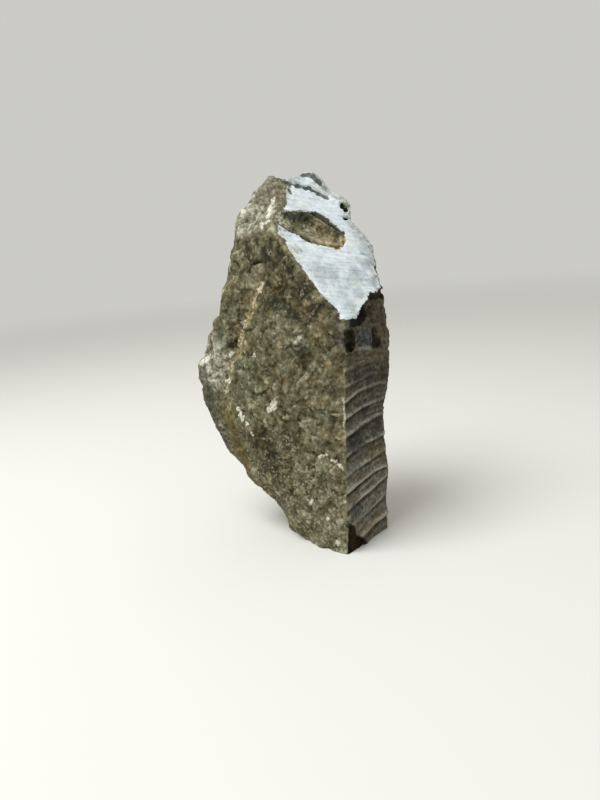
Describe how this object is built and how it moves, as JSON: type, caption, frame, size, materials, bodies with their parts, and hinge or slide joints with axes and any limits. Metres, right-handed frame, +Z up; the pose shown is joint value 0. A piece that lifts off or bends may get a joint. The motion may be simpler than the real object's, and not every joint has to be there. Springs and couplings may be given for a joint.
{
  "type": "soapstone block",
  "caption": "Raw block of soapstone standing on a small flat foot, with one sawn side, a rasped pale slope at the top with a hollow in it, and rough broken rock all round.",
  "frame": {"origin": "middle of the flat foot, on the surface that it stands on", "axes": "+Z up along the block's height, +X out of the sawn side, +Y along the sawn side from its front edge to its back edge"},
  "size_m": [0.1064, 0.0752, 0.2168],
  "materials": {
    "soapstone": "rough, broken, with a pale rasped slope"
  },
  "bodies": {
    "root": {"soapstone_block": "soapstone"}
  },
  "joints": []
}
